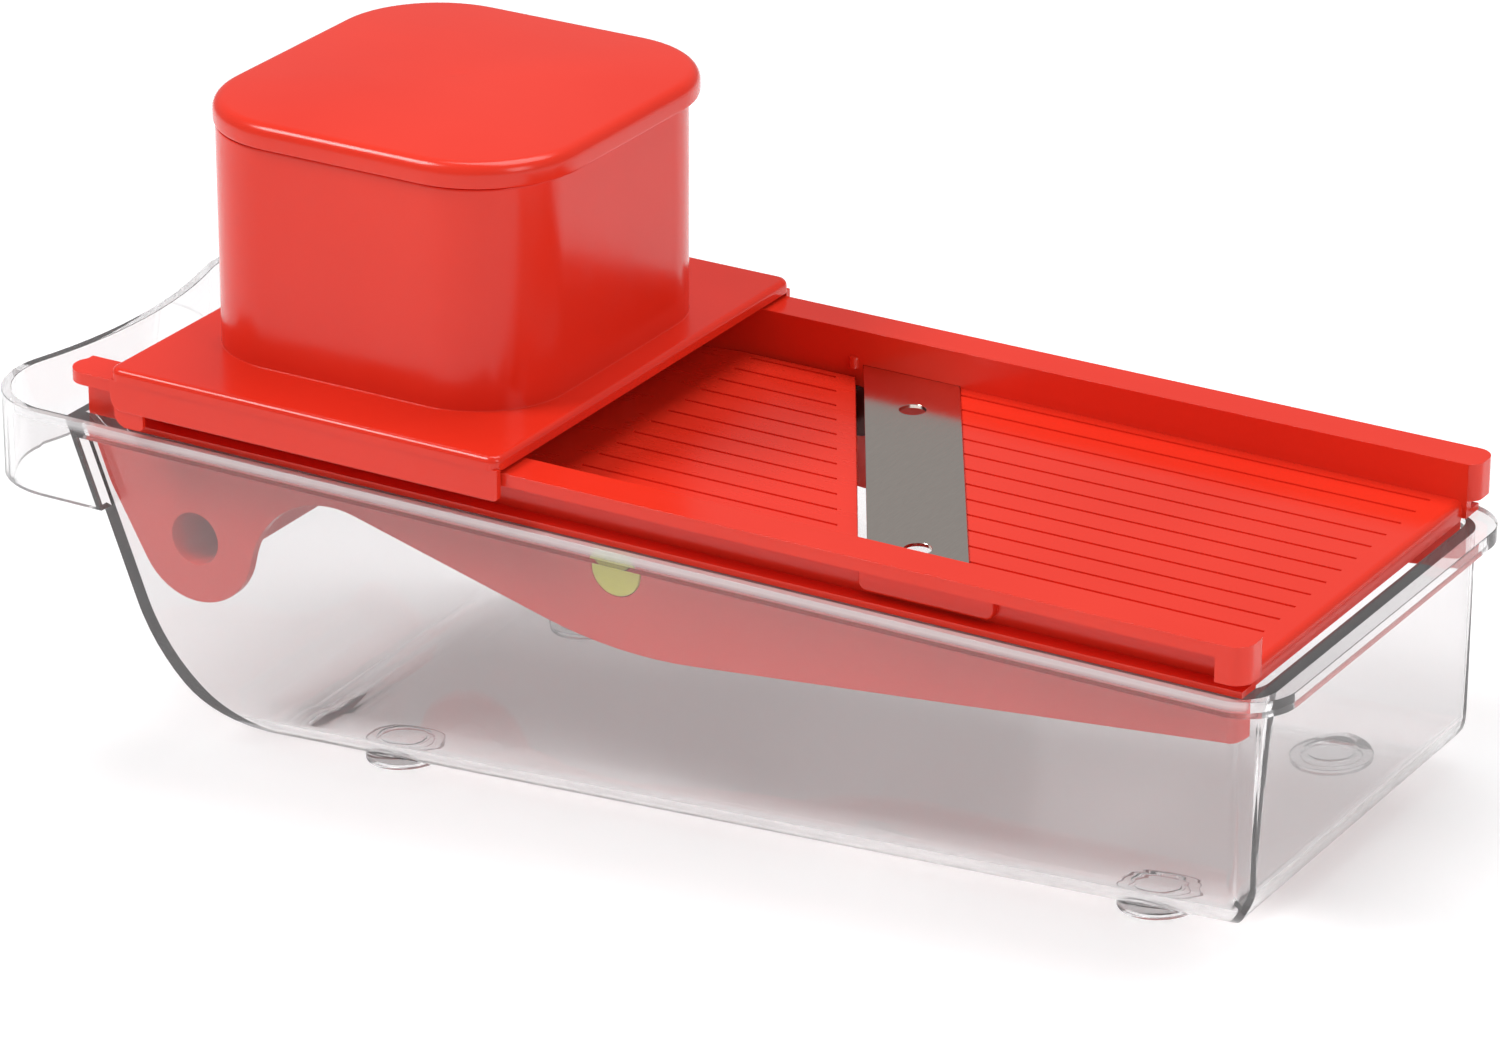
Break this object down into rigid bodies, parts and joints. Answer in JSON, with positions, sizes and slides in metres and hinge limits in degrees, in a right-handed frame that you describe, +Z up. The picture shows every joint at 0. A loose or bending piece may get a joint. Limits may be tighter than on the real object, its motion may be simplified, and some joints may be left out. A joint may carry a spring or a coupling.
{
  "type": "mandoline slicer",
  "caption": "Mandoline slicer with an oblique blade, adjustable ramp and sliding food carriage on a clear catch container with a carrying loop.",
  "frame": {"origin": "centre of the overall footprint on the table plane, under the feet", "axes": "+X along the length from the carrying loop to the far end, +Y across towards the back rail, +Z up from the table; the slicing deck is tilted 3.57 degrees about Y, lower at +X"},
  "size_m": [0.3214, 0.1224, 0.1462],
  "materials": {
    "clear_container": "clear moulded plastic with a polished surface",
    "clear_foot": "clear soft non-slip pad",
    "red_frame": "glossy moulded plastic",
    "blade_steel": "fine ground stainless steel",
    "red_retainer": "glossy moulded plastic",
    "red_ramp": "satin moulded plastic with grooves",
    "yellow_adjuster": "satin moulded plastic",
    "red_carriage": "glossy moulded plastic",
    "red_pusher": "glossy moulded plastic",
    "spike_steel": "plain stainless steel pins"
  },
  "bodies": {
    "container": {"container": "clear_container", "foot_near_left": "clear_foot", "foot_near_right": "clear_foot", "foot_far_left": "clear_foot", "foot_far_right": "clear_foot"},
    "frame": {"slicer_frame": "red_frame", "blade": "blade_steel", "blade_retainer_near": "red_retainer", "blade_retainer_far": "red_retainer"},
    "ramp": {"ramp": "red_ramp"},
    "adjuster": {"thickness_shaft": "yellow_adjuster", "thickness_dial": "yellow_adjuster"},
    "carriage": {"carriage": "red_carriage"},
    "pusher": {"pusher_cap": "red_pusher", "pusher_plunger": "red_pusher", "grip_spikes": "spike_steel"}
  },
  "joints": [
    {"name": "frame_lift", "type": "slide", "parent": "container", "child": "frame", "axis": [0.0623, 0, 0.9981], "range_m": [0, 0.07]},
    {"name": "thickness_dial_turn", "type": "hinge", "parent": "frame", "child": "adjuster", "pos_m": [0.00479, 0, 0.05983], "axis": [0, 1, 0], "range_deg": [-50, 50]},
    {"name": "ramp_tilt", "type": "hinge", "parent": "frame", "child": "ramp", "pos_m": [-0.11268, 0, 0.06723], "axis": [0, 1, 0], "range_deg": [-0.82, 0.82]},
    {"name": "carriage_slide", "type": "slide", "parent": "frame", "child": "carriage", "axis": [0.9981, 0, -0.0623], "range_m": [-0.01, 0.1685]},
    {"name": "pusher_slide", "type": "slide", "parent": "carriage", "child": "pusher", "axis": [0.0623, 0, 0.9981], "range_m": [0, 0.062]}
  ],
  "couplings": [
    {"joint": "thickness_dial_turn", "follows": "ramp_tilt", "ratio": -60.946}
  ]
}
